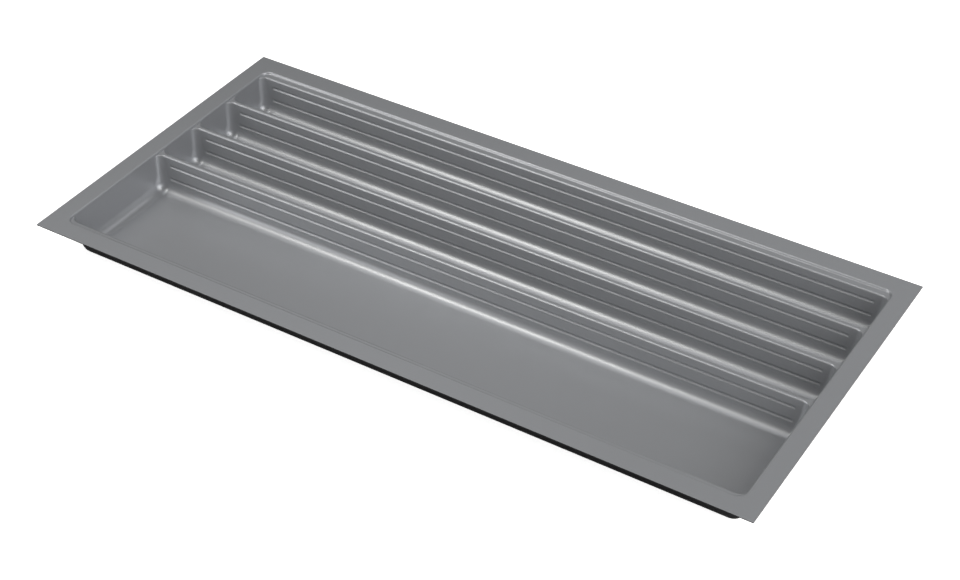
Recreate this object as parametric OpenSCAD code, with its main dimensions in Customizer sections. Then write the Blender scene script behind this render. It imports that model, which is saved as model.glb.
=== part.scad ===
// Cutlery tray for a wide drawer, formed from one sheet with a silver face and a black back.
// Lengths are in millimetres. X runs along the long side and Y towards the back.
// The origin is the middle of the footprint, at the underside of the floors.

/* [Overall] */
// Length over the flange, left to right
tray_l = 1000; // [700:1:1200]
// Width over the flange, front to back
tray_w = 480; // [420:1:600]
// Height from the underside of the floors to the top of the flange
tray_h = 56; // [48:0.5:80]

/* [Sheet] */
// Thickness of the whole sheet
sheet_t = 1.5; // [1.2:0.1:2.3]
// Thickness of the silver face, which is part of the sheet
cap_t = 0.3; // [0.2:0.05:0.8]

/* [Flange] */
// Flat width of the flange along the front edge
flange_front_w = 25; // [15:0.5:40]
// Flat width of the flange along the back edge
flange_back_w = 27; // [15:0.5:40]
// Flat width of the flange at each end
flange_end_w = 23; // [15:0.5:40]

/* [Recess inside the flange] */
// Drop from the flange to the ledges and the divider tops
recess_drop = 3; // [2.5:0.1:5]
// Slope of the step, measured from the vertical
step_draft = 32; // [10:1:45]
// Radius where the flange rolls over into the step
step_roll_r = 2.5; // [2.4:0.1:4]
// Radius at the foot of the step
step_foot_r = 2; // [1:0.1:3]
// Corner radius of the recess in plan, at the flange
recess_corner_r = 12; // [8:0.5:20]
// Ledge between the foot of the step and the wide compartment
front_ledge_w = 6.4; // [5:0.1:20]
// Ledge between the foot of the step and the rear compartment
back_ledge_w = 9.4; // [5:0.1:20]

/* [Compartments] */
// Number of narrow compartments behind the wide one
narrow_n = 3; // [1:1:4]
// Width of a narrow compartment at the height of the ledges
narrow_w = 70.4; // [55:0.1:80]
// Width of a divider at its top
divider_w = 6.3; // [5.5:0.1:15]
// Lean of the compartment walls, measured from the vertical
wall_draft = 5; // [2:0.5:8]
// Radius where the ledges and dividers roll over into the walls
roll_r = 2.5; // [2.4:0.1:2.7]
// Radius between the walls and the floor
cove_r = 15; // [8:0.5:15]
// Corner radius left at the flat floor, in plan
floor_corner_r = 0.6; // [0.5:0.1:6]

/* [Grooves] */
// Number of grooves pressed into each wall that faces the front
groove_n = 2; // [1:1:2]
// Drop from the flange to the middle of the upper groove
groove_drop = 15; // [12:0.5:18]
// Distance from one groove down to the next
groove_pitch = 19.4; // [12:0.1:20]
// Width of a groove across the wall
groove_w = 5; // [3:0.1:6]
// Depth of a groove
groove_d = 1.2; // [0.6:0.1:1.6]
// Plain wall left between the end of a groove and the seam to the end wall
groove_margin = 0.3; // [0.2:0.1:20]

/* [Hidden] */
$fn = 96;
silver = "#8b8d90";
black = "#1c1c1e";

// Sharp underside radius that is left where a roll is tighter than the sheet
least_r = 0.2;
// Distance by which neighbouring spaces are lapped so that they join cleanly
lap = 1;
// Depth to which a flat wall runs into its roundings, so that it crosses them cleanly
tuck = 0.01;
// Height of the free space drawn above the flange
sky = 20;
// Flat left between a rounding and the seam to the next region of the sheet
seam_clear = 1.3;

// Places are kept to a hundredth, so that neighbouring faces meet without a step
function fine(v) = round(100 * v) / 100;

// Length that a rounding takes from the sharp corner to where it meets the flat
function rounding_run(r, lean) = r * (1 - sin(lean)) / cos(lean);

// Heights of the silver face
top_z = tray_h;
ledge_z = top_z - recess_drop;
floor_z = sheet_t;

// Recess, measured between its sharp edges in the plane of the flange
step_run = fine(rounding_run(step_roll_r, step_draft));
recess_w = tray_w - flange_front_w - flange_back_w - 2 * step_run;
recess_l = tray_l - 2 * flange_end_w - 2 * step_run;
recess_y = (flange_front_w - flange_back_w) / 2;

// Foot of the step, in the plane of the ledges
foot_inset = fine(recess_drop * tan(step_draft));
foot_front_y = recess_y - recess_w / 2 + foot_inset;
foot_back_y = recess_y + recess_w / 2 - foot_inset;
pan_l = recess_l - 2 * foot_inset;

// Height to which the space of a compartment is drawn, inside the recess above it
pan_top_z = ledge_z + recess_drop / 4;

// Compartments from the front to the back, between their sharp edges at the ledges
pitch = narrow_w + divider_w;
wide_front_y = foot_front_y + front_ledge_w;
narrow_back_y = foot_back_y - back_ledge_w;
wide_back_y = narrow_back_y - narrow_n * pitch;
pan_n = narrow_n + 1;
function pan_front_y(i) = i == 0 ? wide_front_y : wide_back_y + (i - 1) * pitch + divider_w;
function pan_back_y(i) = wide_back_y + i * pitch;
function pan_w(i) = pan_back_y(i) - pan_front_y(i);
function pan_y(i) = (pan_back_y(i) + pan_front_y(i)) / 2;

// Distance from a compartment's sharp edge to where its floor is flat
pan_depth = ledge_z - floor_z;
flat_inset = fine(pan_depth * tan(wall_draft) + rounding_run(cove_r, wall_draft));
corner_r = flat_inset + floor_corner_r;

// Seams between the named regions of the sheet
rim_front_y = -tray_w / 2 + flange_front_w - seam_clear;
rim_back_y = tray_w / 2 - flange_back_w + seam_clear;
rim_end_x = tray_l / 2 - flange_end_w + seam_clear;
seam_x = pan_l / 2 - corner_r - seam_clear;
function floor_front_y(i) = pan_front_y(i) + flat_inset + seam_clear;
function floor_back_y(i) = pan_back_y(i) - flat_inset - seam_clear;

// Round section of a groove, whose centre line hangs in front of the wall
groove_r = (groove_w * groove_w / 4 + groove_d * groove_d) / (2 * groove_d);
groove_off = groove_r - groove_d;
groove_l = 2 * (seam_x - groove_margin);

narrow_names = ["front", "middle", "rear", "back"];

// Free space to the left of one leaning wall, as a section. The sharp edge is at (0, top).
// A depth of 0 draws the silver face, and a larger depth the surface that far into the sheet.
module wall_space(top, low, lean, roll, cove, up, depth) {
    far = tray_l + tray_w;
    cove_x = -(cove - (low + cove - top) * sin(lean)) / cos(lean);
    cove_z = low + cove;
    cove_out = cove + depth;
    bend = max(roll, depth + least_r);
    roll_out = bend - depth;
    roll_x = rounding_run(bend, lean);
    roll_z = top - bend;
    above = [
        [roll_x - (roll_out - tuck) * cos(lean), roll_z + (roll_out - tuck) * sin(lean)],
        [roll_x, roll_z],
        [roll_x, up]
    ];
    straight_up = [[depth / cos(lean) + (up - top) * tan(lean), up]];
    difference() {
        union() {
            polygon(concat(
                [
                    [-far, up],
                    [-far, low - depth],
                    [cove_x, low - depth],
                    [cove_x, cove_z],
                    [cove_x + (cove_out - tuck) * cos(lean), cove_z - (cove_out - tuck) * sin(lean)]
                ],
                roll > 0 ? above : straight_up
            ));
            translate([cove_x, cove_z]) circle(r = cove_out);
        }
        if (roll > 0) translate([roll_x, roll_z]) circle(r = roll_out);
    }
}

module recess_edge(depth) {
    wall_space(top_z, ledge_z, step_draft, step_roll_r, step_foot_r, top_z + lap, depth);
}

module pan_edge(roll, depth) {
    wall_space(ledge_z, floor_z, wall_draft, roll, cove_r, pan_top_z, depth);
}

// Section of a hollow between two leaning walls, centred on x = 0
module hollow(w) {
    intersection() {
        translate([w / 2, 0]) children();
        mirror([1, 0]) translate([w / 2, 0]) children();
    }
}

// Draws a section that is given in Y and Z along the X axis
module along_x(x0, x1) {
    translate([x0, 0, 0]) rotate([90, 0, 90]) linear_extrude(x1 - x0) children();
}

// Draws a section that is given in X and Z along the Y axis
module along_y(y0, y1) {
    translate([0, y1, 0]) rotate([90, 0, 0]) linear_extrude(y1 - y0) children();
}

module box(x0, x1, y0, y1, z0, z1) {
    translate([x0, y0, z0]) cube([x1 - x0, y1 - y0, z1 - z0]);
}

// Space above the flange. It ends lower for a deeper surface, so that nothing is left over it.
module open_sky(x0, x1, depth) {
    box(x0, x1, -tray_w / 2, tray_w / 2, top_z - depth, top_z + sky - depth);
}

// Long rounded groove in the wall at the back of a compartment
module groove(i, k, depth) {
    drop = groove_drop + k * groove_pitch - recess_drop;
    wall_y = pan_back_y(i) - drop * tan(wall_draft);
    y = wall_y - groove_off * cos(wall_draft);
    z = ledge_z - drop + groove_off * sin(wall_draft);
    r = groove_r + depth;
    straight = groove_l / 2 - groove_r;
    translate([0, y, z]) rotate([0, 90, 0]) rotate_extrude() {
        translate([0, -straight]) square([r, 2 * straight]);
        for (end = [-1, 1]) translate([0, end * straight]) intersection() {
            circle(r = r);
            translate([0, -r]) square([r, 2 * r]);
        }
    }
}

// All that lies over the sheet in the middle of the tray, where the section is the same throughout
module middle_space(depth, first, last) {
    x = seam_x + lap;
    open_sky(-x, x, depth);
    along_x(-x, x) translate([recess_y, 0]) hollow(recess_w) recess_edge(depth);
    for (i = [first : last]) {
        along_x(-x, x) translate([pan_y(i), 0]) hollow(pan_w(i)) pan_edge(roll_r, depth);
        for (k = [0 : groove_n - 1]) groove(i, k, depth);
    }
}

// Quarter turn of a wall's section round an upright axis, at the front left corner of a hollow
module round_corner(r) {
    rotate([0, 0, 180]) rotate_extrude(angle = 90) intersection() {
        translate([r, 0]) children();
        translate([0, -lap - sheet_t]) square([2 * r, top_z + sky]);
    }
}

// Left end of a hollow. Its two long walls meet the end wall in round corners.
// The children are the section of a long wall and that of the end wall and its corners.
module end_hollow(l, y, w, r, x0, x1) {
    x = r - l / 2;
    difference() {
        intersection() {
            along_x(x0, x1) translate([y, 0]) hollow(w) children(0);
            along_y(-tray_w / 2, tray_w / 2) hollow(l) children(1);
        }
        for (s = [-1, 1]) translate([x - r, y + s * w / 2, 0])
            box(-r, r, -r, r, -lap - sheet_t, top_z + sky);
    }
    for (s = [0, 1]) translate([x, y, 0]) mirror([0, s, 0])
        translate([0, r - w / 2, 0]) round_corner(r) children(1);
}

// All that lies over the sheet at the left end
module end_space(depth) {
    x0 = -tray_l / 2;
    x1 = -seam_x + lap;
    open_sky(x0, x1, depth);
    end_hollow(recess_l, recess_y, recess_w, recess_corner_r, x0, x1) {
        recess_edge(depth);
        recess_edge(depth);
    }
    for (i = [0 : pan_n - 1]) end_hollow(pan_l, pan_y(i), pan_w(i), corner_r, x0, x1) {
        pan_edge(roll_r, depth);
        pan_edge(0, depth);
    }
}

// Part of the sheet between two depths, in the middle of the tray and between two places in Y
module middle_sheet(from, to, y0, y1, first, last) {
    intersection() {
        difference() {
            middle_space(to, first, last);
            middle_space(from, first, last);
        }
        box(-seam_x, seam_x, y0, y1, -lap, top_z + lap);
    }
}

// Part of the sheet between two depths, at the left end inside the flange
module end_sheet(from, to) {
    intersection() {
        difference() {
            end_space(to);
            end_space(from);
        }
        box(-rim_end_x, -seam_x, rim_front_y, rim_back_y, -lap, top_z + lap);
    }
}

// Flat bar of the flange between two depths
module rim_bar(x0, x1, y0, y1, from, to) {
    box(x0, x1, y0, y1, top_z - to, top_z - from);
}

module rims(from, to) {
    rim_bar(-tray_l / 2, tray_l / 2, -tray_w / 2, rim_front_y, from, to);
    rim_bar(-tray_l / 2, tray_l / 2, rim_back_y, tray_w / 2, from, to);
    for (s = [0, 1]) mirror([s, 0, 0])
        rim_bar(-tray_l / 2, -rim_end_x, rim_front_y, rim_back_y, from, to);
}

// The silver face over the whole tray
module silver_cap_layer() color(silver) {
    rims(0, cap_t);
    middle_sheet(0, cap_t, rim_front_y, rim_back_y, 0, pan_n - 1);
    for (s = [0, 1]) mirror([s, 0, 0]) end_sheet(0, cap_t);
}

module rim_front() color(black) {
    rim_bar(-tray_l / 2, tray_l / 2, -tray_w / 2, rim_front_y, cap_t, sheet_t);
}

module rim_back() color(black) {
    rim_bar(-tray_l / 2, tray_l / 2, rim_back_y, tray_w / 2, cap_t, sheet_t);
}

module rim_left() color(black) {
    rim_bar(-tray_l / 2, -rim_end_x, rim_front_y, rim_back_y, cap_t, sheet_t);
}

module rim_right() color(black) {
    rim_bar(rim_end_x, tray_l / 2, rim_front_y, rim_back_y, cap_t, sheet_t);
}

// Step, ledge, wall and cove along the front
module front_wall() color(black) {
    middle_sheet(cap_t, sheet_t, rim_front_y, floor_front_y(0), 0, 0);
}

// Step, ledge, grooved wall and cove along the back
module back_wall() color(black) {
    middle_sheet(cap_t, sheet_t, floor_back_y(narrow_n), rim_back_y, narrow_n, narrow_n);
}

module left_end_wall() color(black) {
    end_sheet(cap_t, sheet_t);
}

module right_end_wall() color(black) {
    mirror([1, 0, 0]) end_sheet(cap_t, sheet_t);
}

// Flat floor of a compartment between its coves
module floor_plate(i) color(black) {
    box(-seam_x, seam_x, floor_front_y(i), floor_back_y(i), 0, floor_z - cap_t);
}

// Hollow divider with a cove on each side, between compartment i and the one behind it
module divider(i) color(black) {
    middle_sheet(cap_t, sheet_t, floor_back_y(i), floor_front_y(i + 1), i, i + 1);
}

silver_cap_layer();
rim_front();
rim_back();
rim_left();
rim_right();
front_wall();
back_wall();
left_end_wall();
right_end_wall();
floor_plate(0);  // floor_wide
for (i = [1 : narrow_n]) {
    floor_plate(i);
    divider(i - 1);
}
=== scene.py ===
"""Cutlery tray for a wide drawer, formed from one sheet with a silver face and a black back."""

import math

import bmesh
import bpy
from bpy.props import FloatProperty, FloatVectorProperty, IntProperty, PointerProperty
from mathutils import Matrix, Vector


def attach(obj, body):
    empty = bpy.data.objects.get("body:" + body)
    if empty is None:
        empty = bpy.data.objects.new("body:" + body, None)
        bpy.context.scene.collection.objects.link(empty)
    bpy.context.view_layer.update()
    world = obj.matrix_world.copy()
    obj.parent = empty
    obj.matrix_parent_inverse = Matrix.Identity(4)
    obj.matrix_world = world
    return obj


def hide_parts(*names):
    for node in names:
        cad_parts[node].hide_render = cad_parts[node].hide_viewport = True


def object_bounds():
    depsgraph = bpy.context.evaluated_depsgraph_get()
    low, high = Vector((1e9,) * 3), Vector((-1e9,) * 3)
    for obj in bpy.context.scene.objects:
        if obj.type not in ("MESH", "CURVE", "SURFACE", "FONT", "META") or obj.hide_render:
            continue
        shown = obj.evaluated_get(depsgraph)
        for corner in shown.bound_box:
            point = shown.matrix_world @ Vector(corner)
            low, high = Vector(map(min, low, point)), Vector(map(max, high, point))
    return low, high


bl_info = {
    "name": "Formed cutlery tray",
    "version": (1, 0, 0),
    "blender": (4, 5, 0),
    "location": "3D View > Sidebar > Cutlery tray",
    "description": "Models a formed cutlery tray with its silver face, black back and studio",
    "category": "Add Mesh",
}

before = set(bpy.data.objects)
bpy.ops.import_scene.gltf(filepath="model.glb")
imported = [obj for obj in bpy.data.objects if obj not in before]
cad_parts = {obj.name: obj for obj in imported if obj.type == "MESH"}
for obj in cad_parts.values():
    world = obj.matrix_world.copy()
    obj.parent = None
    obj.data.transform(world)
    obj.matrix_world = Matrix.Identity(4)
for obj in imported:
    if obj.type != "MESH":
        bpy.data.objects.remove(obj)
cad_low, cad_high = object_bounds()

MM = 0.001
CORE_NODES = [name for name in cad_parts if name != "silver_cap_layer"]

# Steps in the roundings. They are the same at every depth of the sheet, so its layers match.
CORNER_STEPS = 12
ROLL_STEPS = 8
FOOT_STEPS = 5
COVE_STEPS = 18
GROOVE_STEPS = 4

# How far apart points may lie and still count as at one height, and as one point
SAME_PLACE = 1e-6
SAME_POINT = 5e-6
# Faces that turn by less than this at an edge are shaded as one rounding.
SMOOTH_ANGLE = math.radians(40)
# The sides of a groove lean by about 45 degrees, and each corner of its section moves by half of that.
HALF_FLANK_ANGLE = math.radians(22.5)
SMALLEST_LIP = 0.15 * MM
# How far from the top edge of a compartment, and from the middle of a groove, the grooved wall may lie
WALL_REACH = 8 * MM
GROOVE_REACH = 4 * MM
# How far in front of its top edge an end wall is still looked for
END_REACH = 1 * MM


def millimetres(name, description, default):
    """A length that a user may change, in metres and given here in millimetres."""
    return FloatProperty(name=name, description=description, default=default * MM, min=0.0, unit="LENGTH", precision=4)


def hex_to_linear(code):
    """Linear colour of an sRGB hex value such as "8b8d90"."""
    srgb = [int(code[i : i + 2], 16) / 255 for i in (0, 2, 4)]
    return [c / 12.92 if c <= 0.04045 else ((c + 0.055) / 1.055) ** 2.4 for c in srgb]


def colour(name, description, code):
    return FloatVectorProperty(
        name=name, description=description, default=hex_to_linear(code), size=3, min=0.0, max=1.0, subtype="COLOR"
    )


class TraySizes(bpy.types.PropertyGroup):
    """Sizes of the tray. Grooves and corner radii follow the photograph more closely than its solids do"""

    sheet_t: millimetres("Sheet", "Thickness of the whole sheet", 1.5)
    cap_t: millimetres("Silver layer", "Thickness of the silver face, part of the sheet", 0.3)
    flange_front: millimetres("Front flange", "Flat width of the flange along the front", 25.0)
    flange_back: millimetres("Back flange", "Flat width of the flange along the back", 27.0)
    end_inset: millimetres("End wall", "Distance from the outer edge to an end wall, at the flange", 26.0)
    recess_drop: millimetres("Recess", "Drop from the flange to the ledges and divider tops", 3.0)
    recess_corner: millimetres("Recess corner", "Corner radius of the recess", 12.0)
    step_roll: millimetres("Flange rounding", "Radius where the flange rolls over into the recess", 2.5)
    step_foot: millimetres("Step foot", "Radius at the foot of the step", 2.0)
    front_ledge: millimetres("Front ledge", "Ledge in front of the wide compartment", 6.4)
    back_ledge: millimetres("Back ledge", "Ledge behind the rear compartment", 9.4)
    narrow_w: millimetres("Narrow compartment", "Width of a narrow compartment at the ledges", 70.4)
    divider_w: millimetres("Divider", "Width of a divider at its top", 6.3)
    wall_roll: millimetres("Divider rounding", "Radius where ledges and dividers roll over into the walls", 2.5)
    cove: millimetres("Cove", "Radius between the walls and the floor", 15.0)
    corner_top: millimetres("Corner at the top", "Corner radius of a compartment at the ledges", 11.0)
    corner_low: millimetres("Corner above the cove", "Corner radius of a compartment a little above its cove", 12.0)
    corner_blend: millimetres("Corner blend", "Height above the cove over which a corner grows rounder", 9.0)
    corner_floor: millimetres("Corner of the floor", "Corner radius of a compartment's flat floor", 0.6)
    groove_drop: millimetres("Upper groove", "Drop from the flange to the middle of the upper groove", 16.0)
    groove_pitch: millimetres("Groove pitch", "Distance from one groove down to the next", 19.4)
    groove_w: millimetres("Groove width", "Width of a groove across the wall", 4.6)
    groove_d: millimetres("Groove depth", "Depth of a groove", 1.2)
    groove_flank: millimetres("Groove flank", "Width of each sloping side of a groove", 1.3)
    groove_round: millimetres("Groove rounding", "Length of the roundings of a groove", 0.8)
    groove_end: millimetres("Groove end", "Distance from the outer edge to the end of a groove", 45.5)
    step_lean: FloatProperty(
        name="Step lean", description="Slope of the step, from the vertical", default=math.radians(32), subtype="ANGLE"
    )
    wall_lean: FloatProperty(
        name="Wall lean", description="Slope of the walls, from the vertical", default=math.radians(5), subtype="ANGLE"
    )
    narrow_n: IntProperty(
        name="Narrow compartments", description="How many stand behind the wide one", default=3, min=1
    )
    groove_n: IntProperty(name="Grooves", description="How many are pressed into each back wall", default=2, min=0)


class TrayColours(bpy.types.PropertyGroup):
    """Colours of the tray and its studio"""

    silver: colour("Silver", "Face of the sheet", "a3a5a9")
    black: colour("Black", "Back of the sheet", "161618")
    ground: colour("Ground", "Floor and backdrop", "f4f4f4")


def run(radius, lean):
    """Length that a rounding takes from the sharp corner to where it meets the flat."""
    return radius * (1 - math.sin(lean)) / math.cos(lean)


class Wall:
    """Section of one wall at a depth into the sheet: a roll-over, a lean and a cove. Insets run from its sharp edge."""

    def __init__(self, top, low, lean, roll, cove, depth):
        self.top, self.low, self.lean, self.roll, self.cove, self.depth = top, low, lean, roll, cove, depth
        self.cove_inset = (cove - (low + cove - top) * math.sin(lean)) / math.cos(lean)

    def roll_level(self, turn):
        """Inset and height where the roll-over has turned by this angle."""
        arc = self.roll - self.depth
        return arc * math.sin(turn) - run(self.roll, self.lean), self.top - self.roll + arc * math.cos(turn)

    def cove_level(self, turn):
        """Inset and height where the cove has this angle left to the floor."""
        arc = self.cove + self.depth
        return self.cove_inset - arc * math.sin(turn), self.low + self.cove - arc * math.cos(turn)

    def inset_at(self, height):
        """Inset of the wall at a height: on the roll-over, on the lean or in the cove."""
        arc = self.roll - self.depth
        over = height - self.top + self.roll
        if over > arc * math.sin(self.lean):
            return math.sqrt(max(arc * arc - over * over, 0)) - run(self.roll, self.lean)
        arc = self.cove + self.depth
        under = self.low + self.cove - height
        if under > arc * math.sin(self.lean):
            return self.cove_inset - math.sqrt(max(arc * arc - under * under, 0))
        return (-self.depth - (height - self.top) * math.sin(self.lean)) / math.cos(self.lean)


class Plan:
    """Where the walls of the tray stand, from its named sizes."""

    def __init__(self, sizes):
        self.flange_z = cad_high.z
        self.ledge_z = cad_high.z - sizes.recess_drop
        self.floor_z = cad_low.z + sizes.sheet_t
        self.end_x = cad_high.x - sizes.end_inset
        self.recess_front = cad_low.y + sizes.flange_front + run(sizes.step_roll, sizes.step_lean)
        self.recess_back = cad_high.y - sizes.flange_back - run(sizes.step_roll, sizes.step_lean)
        foot = sizes.recess_drop * math.tan(sizes.step_lean)
        pitch = sizes.narrow_w + sizes.divider_w
        last_back = self.recess_back - foot - sizes.back_ledge
        wide_back = last_back - sizes.narrow_n * pitch
        self.pans = [(self.recess_front + foot + sizes.front_ledge, wide_back)]
        for i in range(sizes.narrow_n):
            front = wide_back + i * pitch + sizes.divider_w
            self.pans.append((front, front + sizes.narrow_w))


def deselect_objects():
    bpy.ops.object.select_all(action="DESELECT")


def select_in_mesh(kind, wanted):
    """Selects the edges or faces of the mesh in edit mode that a test accepts, and nothing else."""
    bpy.ops.mesh.select_mode(type={"edges": "EDGE", "faces": "FACE"}[kind])
    bpy.ops.mesh.select_all(action="DESELECT")
    mesh = bpy.context.edit_object.data
    shape = bmesh.from_edit_mesh(mesh)
    for item in getattr(shape, kind):
        if wanted(item):
            item.select_set(True)
    shape.select_flush_mode()
    bmesh.update_edit_mesh(mesh)


def at_height(z):
    return lambda item: all(abs(v.co.z - z) < SAME_PLACE for v in item.verts)


def add_outline(half_x, front, back, z, radius):
    """Adds a flat face with round corners to the mesh in edit mode."""
    middle = (0, (front + back) / 2, z)
    bpy.ops.mesh.select_all(action="DESELECT")
    bpy.ops.mesh.primitive_plane_add(size=1, location=middle)
    bpy.ops.transform.resize(value=(2 * half_x, back - front, 1), center_override=middle)
    if radius:
        bpy.ops.mesh.bevel(affect="VERTICES", offset=radius, segments=CORNER_STEPS, profile=0.5, clamp_overlap=False)


def start_mesh(name, outline):
    """A new object in edit mode that holds one outline."""
    deselect_objects()
    bpy.ops.mesh.primitive_plane_add(size=1)
    piece = bpy.context.object
    piece.name = piece.data.name = name
    bpy.ops.object.mode_set(mode="EDIT")
    bpy.ops.mesh.select_mode(type="VERT")
    bpy.ops.mesh.select_all(action="SELECT")
    bpy.ops.mesh.delete(type="VERT")
    add_outline(*outline)
    return piece


def face_up(piece):
    """Turns the faces of an open mesh in edit mode so that they look up and into the hollows."""
    bpy.ops.mesh.select_mode(type="FACE")
    bpy.ops.mesh.select_all(action="SELECT")
    bpy.ops.mesh.normals_make_consistent(inside=False)
    shape = bmesh.from_edit_mesh(piece.data)
    if sum(face.normal.z * face.calc_area() for face in shape.faces) < 0:
        bpy.ops.mesh.flip_normals()


def loft(name, outlines, closed):
    """A surface through a stack of outlines, with a floor on the last one if it is closed."""
    piece = start_mesh(name, outlines[0])
    for outline in outlines[1:]:
        add_outline(*outline)
    last = outlines[-1][3]
    select_in_mesh("faces", lambda face: not (closed and at_height(last)(face)))
    bpy.ops.mesh.delete(type="ONLY_FACE")
    for upper, lower in zip(outlines, outlines[1:]):
        levels = (upper[3], lower[3])
        select_in_mesh("edges", lambda edge: any(at_height(z)(edge) for z in levels))
        bpy.ops.mesh.bridge_edge_loops()
    face_up(piece)
    bpy.ops.object.mode_set(mode="OBJECT")
    return piece


def recess_outlines(sizes, plan, depth):
    """Levels from the flange down the step to the ledges. The ends go straight down instead."""
    side = Wall(plan.flange_z, plan.ledge_z, sizes.step_lean, sizes.step_roll, sizes.step_foot, depth)
    end = Wall(plan.flange_z, plan.floor_z, sizes.wall_lean, sizes.wall_roll, sizes.cove, depth)
    steep = math.pi / 2 - sizes.step_lean
    levels = [side.roll_level(steep * i / ROLL_STEPS) for i in range(ROLL_STEPS + 1)]
    levels += [side.cove_level(steep * (1 - i / FOOT_STEPS)) for i in range(FOOT_STEPS + 1)]
    return [
        (
            plan.end_x - end.inset_at(z),
            plan.recess_front + inset,
            plan.recess_back - inset,
            z,
            sizes.recess_corner - inset,
        )
        for inset, z in levels
    ]


def pan_outlines(sizes, plan, front, back, depth):
    """Levels of a compartment from the ledges down to its floor."""
    side = Wall(plan.ledge_z, plan.floor_z, sizes.wall_lean, sizes.wall_roll, sizes.cove, depth)
    end = Wall(plan.flange_z, plan.floor_z, sizes.wall_lean, sizes.wall_roll, sizes.cove, depth)
    steep = math.pi / 2 - sizes.wall_lean
    outlines = []
    for i in range(ROLL_STEPS + 1):
        inset, z = side.roll_level(steep * i / ROLL_STEPS)
        outlines.append((plan.end_x - end.inset_at(z), front + inset, back - inset, z, sizes.corner_top - inset))
    z = side.cove_level(steep)[1] + sizes.corner_blend
    inset, radius = side.inset_at(z), sizes.corner_low + depth / math.cos(sizes.wall_lean)
    outlines.append((plan.end_x - end.inset_at(z), front + inset, back - inset, z, radius))
    for i in range(COVE_STEPS + 1):
        inset, z = side.cove_level(steep * (1 - i / COVE_STEPS))
        radius = side.cove_inset + sizes.corner_floor - inset
        outlines.append((plan.end_x - end.inset_at(z), front + inset, back - inset, z, radius))
    return outlines


def press_grooves(sizes, plan, back, depth):
    """Long shallow grooves in the wall at the back of the compartment in edit mode."""
    wall = Wall(plan.ledge_z, plan.floor_z, sizes.wall_lean, sizes.wall_roll, sizes.cove, depth)
    spread = depth * math.tan(HALF_FLANK_ANGLE)
    half_w = sizes.groove_w / 2 + spread
    half_l = cad_high.x - sizes.groove_end + spread
    lip = max(sizes.groove_round - spread, SMALLEST_LIP)
    foot = sizes.groove_round + spread
    for k in range(sizes.groove_n):
        z = plan.flange_z - sizes.groove_drop - k * sizes.groove_pitch
        y = back - wall.inset_at(z)

        def upright(face):
            return abs(face.normal.y) > 0.99

        def in_wall(face):
            middle = face.calc_center_median()
            return upright(face) and abs(middle.x) < half_l and abs(middle.y - back) < WALL_REACH

        def in_groove(face):
            middle = face.calc_center_median()
            return abs(middle.z - z) < half_w and abs(middle.x) < half_l and abs(middle.y - y) < GROOVE_REACH

        for height in (z - half_w, z + half_w):
            select_in_mesh("faces", in_wall)
            bpy.ops.mesh.bisect(plane_co=(0, y, height), plane_no=(0, 0, 1))
        for x in (-half_l, half_l):
            select_in_mesh("faces", lambda face: upright(face) and in_groove(face))
            bpy.ops.mesh.bisect(plane_co=(x, y, z), plane_no=(1, 0, 0))
        select_in_mesh("faces", lambda face: upright(face) and in_groove(face))
        bpy.ops.mesh.inset(thickness=sizes.groove_flank, depth=-sizes.groove_d)
        bpy.ops.mesh.region_to_loop()
        bpy.ops.mesh.bevel(offset=foot, segments=GROOVE_STEPS, profile=0.5, clamp_overlap=True)
        select_in_mesh("faces", in_groove)
        bpy.ops.mesh.region_to_loop()
        bpy.ops.mesh.bevel(offset=lip, segments=GROOVE_STEPS, profile=0.5, clamp_overlap=True)


def copy_back(part, distance):
    """A copy of a part with its own mesh, set further back."""
    deselect_objects()
    part.select_set(True)
    bpy.context.view_layer.objects.active = part
    bpy.ops.object.duplicate(linked=False)
    bpy.ops.transform.translate(value=(0, distance, 0))
    return bpy.context.object


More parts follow.
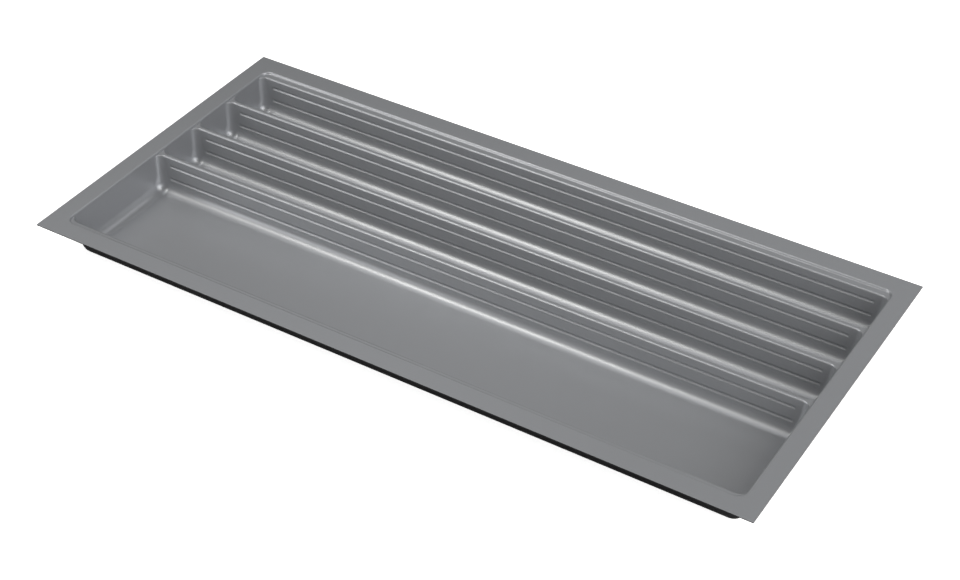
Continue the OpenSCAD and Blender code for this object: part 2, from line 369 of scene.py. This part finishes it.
def form_surface(name, sizes, depth):
    """One surface of the sheet, at a depth below its silver face, as an open mesh that faces up."""
    plan = Plan(sizes)
    parts = [loft(name, recess_outlines(sizes, plan, depth), closed=False)]

    def in_end_wall(face):
        faces_end = abs(face.normal.x) > 0.9 * face.normal.xy.length
        return faces_end and abs(face.calc_center_median().x) > plan.end_x - END_REACH

    # The compartments touch the end walls, which get a cut where each of their corners begins.
    bpy.ops.object.mode_set(mode="EDIT")
    for front, back in plan.pans:
        for y in (front + sizes.corner_top, back - sizes.corner_top):
            select_in_mesh("faces", in_end_wall)
            bpy.ops.mesh.bisect(plane_co=(0, y, 0), plane_no=(0, 1, 0))
    bpy.ops.object.mode_set(mode="OBJECT")
    wide, narrow = plan.pans[0], plan.pans[1]
    for front, back in (wide, narrow):
        parts.append(loft("pan", pan_outlines(sizes, plan, front, back, depth), closed=True))
        bpy.ops.object.mode_set(mode="EDIT")
        press_grooves(sizes, plan, back, depth)
        bpy.ops.object.mode_set(mode="OBJECT")
    parts += [copy_back(parts[-1], pan[0] - narrow[0]) for pan in plan.pans[2:]]
    deselect_objects()
    for part in parts:
        part.select_set(True)
    bpy.context.view_layer.objects.active = parts[0]
    bpy.ops.object.join()
    bpy.ops.object.mode_set(mode="EDIT")
    bpy.ops.mesh.select_all(action="SELECT")
    bpy.ops.mesh.remove_doubles(threshold=SAME_POINT)
    # The ledges and the divider tops, each between the middles of two compartments
    ledge_edge = at_height(plan.ledge_z - depth)
    middles = [cad_low.y] + [(front + back) / 2 for front, back in plan.pans] + [cad_high.y]
    for low, high in zip(middles, middles[1:]):

        def round_ledge(edge):
            y = (edge.verts[0].co.y + edge.verts[1].co.y) / 2
            return edge.is_boundary and ledge_edge(edge) and low < y < high

        select_in_mesh("edges", round_ledge)
        bpy.ops.mesh.edge_face_add()
    # The flange
    flange_z = plan.flange_z - depth
    add_outline(cad_high.x, cad_low.y, cad_high.y, flange_z, 0)
    bpy.ops.mesh.delete(type="ONLY_FACE")
    select_in_mesh("edges", lambda edge: len(edge.link_faces) < 2 and at_height(flange_z)(edge))
    bpy.ops.mesh.fill()
    bpy.ops.object.mode_set(mode="OBJECT")
    return parts[0]


def form_layer(name, sizes, upper, lower):
    """A closed layer of the sheet between two depths."""
    top = form_surface(name, sizes, upper)
    bottom = form_surface(name + "_under", sizes, lower)
    deselect_objects()
    bottom.select_set(True)
    top.select_set(True)
    bpy.context.view_layer.objects.active = top
    bpy.ops.object.join()
    bpy.ops.object.mode_set(mode="EDIT")
    select_in_mesh("edges", lambda edge: edge.is_boundary)
    bpy.ops.mesh.bridge_edge_loops()
    bpy.ops.mesh.select_all(action="SELECT")
    bpy.ops.mesh.normals_make_consistent(inside=False)
    bpy.ops.object.mode_set(mode="OBJECT")
    finish_piece(top)
    return top


def finish_piece(piece):
    """Smooth roundings beside flats that stay flat."""
    deselect_objects()
    piece.select_set(True)
    bpy.context.view_layer.objects.active = piece
    bpy.ops.object.shade_smooth_by_angle(angle=SMOOTH_ANGLE)
    smooth = piece.modifiers.new("even_light", "WEIGHTED_NORMAL")
    smooth.keep_sharp = True
    smooth.weight = 100
    bpy.ops.object.modifier_apply(modifier=smooth.name)


def add_node(tree, kind, settings=None, **links):
    """Adds a node, sets its settings and inputs, and links inputs that are given as sockets."""
    node = tree.nodes.new(kind)
    for key, value in (settings or {}).items():
        setattr(node, key, value)
    for key, value in links.items():
        socket = node.inputs[key.replace("_", " ")]
        if isinstance(value, bpy.types.NodeSocket):
            tree.links.new(value, socket)
        else:
            socket.default_value = value
    return node


def new_material(name):
    material = bpy.data.materials.new(name)
    material.use_nodes = True
    material.node_tree.nodes.clear()
    return material


def satin_silver_abs(colours):
    """Silver ABS with metal flake, hot formed over a mould: satin, a little uneven, with soft wide highlights."""
    material = new_material("satin silver ABS")
    tree = material.node_tree
    place = add_node(tree, "ShaderNodeTexCoord").outputs["Object"]
    # The flake is about 0.1 mm and is drawn at about 1 mm, so that it shows as a faint grain.
    flake = add_node(tree, "ShaderNodeTexNoise", Vector=place, Scale=900.0, Detail=2.0)
    # Forming leaves the sheen a little uneven over some 60 mm.
    sheen = add_node(tree, "ShaderNodeTexNoise", Vector=place, Scale=16.0, Detail=2.0)
    roughness = add_node(tree, "ShaderNodeMapRange", Value=sheen.outputs["Fac"], To_Min=0.34, To_Max=0.4)
    grain = add_node(tree, "ShaderNodeBump", Strength=0.06, Distance=0.0001, Height=flake.outputs["Fac"])
    shader = add_node(
        tree,
        "ShaderNodeBsdfPrincipled",
        Base_Color=(*colours.silver, 1),
        Metallic=0.5,
        Roughness=roughness.outputs["Result"],
        Normal=grain.outputs["Normal"],
    )
    add_node(tree, "ShaderNodeOutputMaterial", Surface=shader.outputs["BSDF"])
    return material


def black_abs(colours):
    """Black ABS as it leaves the former: smooth but dull, so that it stays dark beside a white ground."""
    material = new_material("black ABS")
    tree = material.node_tree
    place = add_node(tree, "ShaderNodeTexCoord").outputs["Object"]
    # The back of the sheet keeps a fine orange-peel about 4 mm across.
    peel = add_node(tree, "ShaderNodeTexNoise", Vector=place, Scale=250.0, Detail=2.0)
    skin = add_node(tree, "ShaderNodeBump", Strength=0.1, Distance=0.0002, Height=peel.outputs["Fac"])
    roughness = add_node(tree, "ShaderNodeMapRange", Value=peel.outputs["Fac"], To_Min=0.48, To_Max=0.56)
    shader = add_node(
        tree,
        "ShaderNodeBsdfPrincipled",
        Base_Color=(*colours.black, 1),
        Roughness=roughness.outputs["Result"],
        IOR=1.53,
        Specular_IOR_Level=0.2,
        Normal=skin.outputs["Normal"],
    )
    add_node(tree, "ShaderNodeOutputMaterial", Surface=shader.outputs["BSDF"])
    return material


def dress(piece, material, nodes):
    piece.data.materials.clear()
    piece.data.materials.append(material)
    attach(piece, "root")
    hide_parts(*nodes)


class TRAY_OT_silver_face(bpy.types.Operator):
    """Form the silver face of the sheet"""

    bl_idname = "tray.silver_face"
    bl_label = "Silver face"

    def execute(self, context):
        sizes = context.scene.tray_sizes
        face = form_layer("silver_face", sizes, 0.0, sizes.cap_t)
        dress(face, satin_silver_abs(context.scene.tray_colours), ["silver_cap_layer"])
        return {"FINISHED"}


class TRAY_OT_black_back(bpy.types.Operator):
    """Form the black back of the sheet"""

    bl_idname = "tray.black_back"
    bl_label = "Black back"

    def execute(self, context):
        sizes = context.scene.tray_sizes
        back = form_layer("black_back", sizes, sizes.cap_t, sizes.sheet_t)
        dress(back, black_abs(context.scene.tray_colours), CORE_NODES)
        return {"FINISHED"}


# Name, azimuth from the tray's right end and elevation in degrees, width in metres, power in watts, colour
SOFTBOXES = (
    ("key_left", 228, 53, 0.9, 24, "fffdf6"),
    ("key_right", 344, 50, 0.7, 11, "fffdf6"),
    ("right", 350, 25, 2.0, 46, "ffffff"),
    ("front_right", 312, 10, 1.8, 12, "ffffff"),
    ("overhead", 195, 70, 1.8, 15, "ffffff"),
    ("low_left", 225, 12, 1.8, 28, "ffffff"),
    ("back_right", 45, 52, 1.6, 10, "ffffff"),
    ("back_left", 140, 50, 1.8, 5, "ffffff"),
    ("back", 97, 26, 1.8, 4, "ffffff"),
)
SOFTBOX_DISTANCE = 3.0
GROUND_WIDTH = 30.0
# The ground lies this far below the tray, so that the two don't share one plane.
GROUND_GAP = 0.5 * MM
CAMERA_PLACE = (1.02672, -1.66942, 1.48122)
CAMERA_LENS = 74.03


def add_softbox(name, azimuth, elevation, size, power, code):
    """A square soft light that stands in one direction from the tray and faces it."""
    turn, rise = math.radians(azimuth), math.radians(elevation)
    direction = Vector((math.cos(turn) * math.cos(rise), math.sin(turn) * math.cos(rise), math.sin(rise)))
    deselect_objects()
    bpy.ops.object.light_add(type="AREA", location=direction * SOFTBOX_DISTANCE)
    lamp = bpy.context.object
    lamp.name = name
    lamp.data.size = size
    lamp.data.energy = power
    lamp.data.color = hex_to_linear(code)
    lamp.visible_camera = False
    lamp.rotation_mode = "QUATERNION"
    lamp.rotation_quaternion = direction.to_track_quat("Z", "Y")


class TRAY_OT_studio(bpy.types.Operator):
    """Set up the ground, the lights and the camera"""

    bl_idname = "tray.studio"
    bl_label = "Studio"

    def execute(self, context):
        scene = context.scene
        deselect_objects()
        bpy.ops.mesh.primitive_plane_add(size=GROUND_WIDTH, location=(0, 0, cad_low.z - GROUND_GAP))
        ground = context.object
        ground.name = "ground"
        paper = new_material("white studio paper")
        tree = paper.node_tree
        # The camera sees the paper brighter than it lights the tray, with a faint shadow left on it.
        rays = add_node(tree, "ShaderNodeLightPath")
        matt = add_node(tree, "ShaderNodeBsdfDiffuse", Color=(*scene.tray_colours.ground, 1))
        level = add_node(tree, "ShaderNodeMapRange", Value=rays.outputs["Is Camera Ray"], To_Min=0.0, To_Max=0.85)
        glow = add_node(tree, "ShaderNodeEmission", Color=(1, 1, 1, 1), Strength=level.outputs["Result"])
        both = add_node(tree, "ShaderNodeAddShader")
        tree.links.new(matt.outputs["BSDF"], both.inputs[0])
        tree.links.new(glow.outputs["Emission"], both.inputs[1])
        add_node(tree, "ShaderNodeOutputMaterial", Surface=both.outputs["Shader"])
        ground.data.materials.append(paper)

        for softbox in SOFTBOXES:
            add_softbox(*softbox)

        world = bpy.data.worlds.new("studio")
        scene.world = world
        world.use_nodes = True
        world.node_tree.nodes.clear()
        tree = world.node_tree
        rays = add_node(tree, "ShaderNodeLightPath")
        room = add_node(tree, "ShaderNodeBackground", Color=(1, 1, 1, 1), Strength=0.04)
        white = add_node(tree, "ShaderNodeBackground", Color=(1, 1, 1, 1), Strength=1.0)
        seen = add_node(tree, "ShaderNodeMixShader", Fac=rays.outputs["Is Camera Ray"])
        tree.links.new(room.outputs["Background"], seen.inputs[1])
        tree.links.new(white.outputs["Background"], seen.inputs[2])
        add_node(tree, "ShaderNodeOutputWorld", Surface=seen.outputs["Shader"])

        # The photograph's camera, worked out from the corners of the flange
        azimuth, elevation, roll = math.radians(31.291), math.radians(38.098), math.radians(0.598)
        back = Vector(
            (
                math.sin(azimuth) * math.cos(elevation),
                -math.cos(azimuth) * math.cos(elevation),
                math.sin(elevation),
            )
        )
        level = Vector((math.cos(azimuth), math.sin(azimuth), 0))
        upright = back.cross(level)
        right = math.cos(roll) * level + math.sin(roll) * upright
        up = math.cos(roll) * upright - math.sin(roll) * level
        bpy.ops.object.camera_add(location=Vector(CAMERA_PLACE) + Vector((0, 0, cad_high.z)))
        camera = context.object
        camera.name = "camera"
        camera.rotation_mode = "QUATERNION"
        camera.rotation_quaternion = Matrix((right, up, back)).transposed().to_quaternion()
        camera.data.lens = CAMERA_LENS
        camera.data.clip_end = 100
        scene.camera = camera
        scene.view_settings.view_transform = "Standard"
        return {"FINISHED"}


class TRAY_PT_panel(bpy.types.Panel):
    """Sidebar panel with the tray's sizes, colours and pieces"""

    bl_label = "Cutlery tray"
    bl_idname = "TRAY_PT_panel"
    bl_space_type = "VIEW_3D"
    bl_region_type = "UI"
    bl_category = "Cutlery tray"

    def draw(self, context):
        for group in (context.scene.tray_sizes, context.scene.tray_colours):
            column = self.layout.column()
            for name in group.bl_rna.properties.keys():
                if name not in {"rna_type", "name"}:
                    column.prop(group, name)
        for operator in OPERATORS:
            self.layout.operator(operator.bl_idname)


OPERATORS = (TRAY_OT_silver_face, TRAY_OT_black_back, TRAY_OT_studio)
CLASSES = (TraySizes, TrayColours, *OPERATORS, TRAY_PT_panel)


def register():
    for cls in CLASSES:
        bpy.utils.register_class(cls)
    bpy.types.Scene.tray_sizes = PointerProperty(type=TraySizes)
    bpy.types.Scene.tray_colours = PointerProperty(type=TrayColours)


def unregister():
    del bpy.types.Scene.tray_colours
    del bpy.types.Scene.tray_sizes
    for cls in reversed(CLASSES):
        bpy.utils.unregister_class(cls)


def main():
    register()
    bpy.ops.tray.silver_face()
    bpy.ops.tray.black_back()
    bpy.ops.tray.studio()


if __name__ == "__main__":
    main()
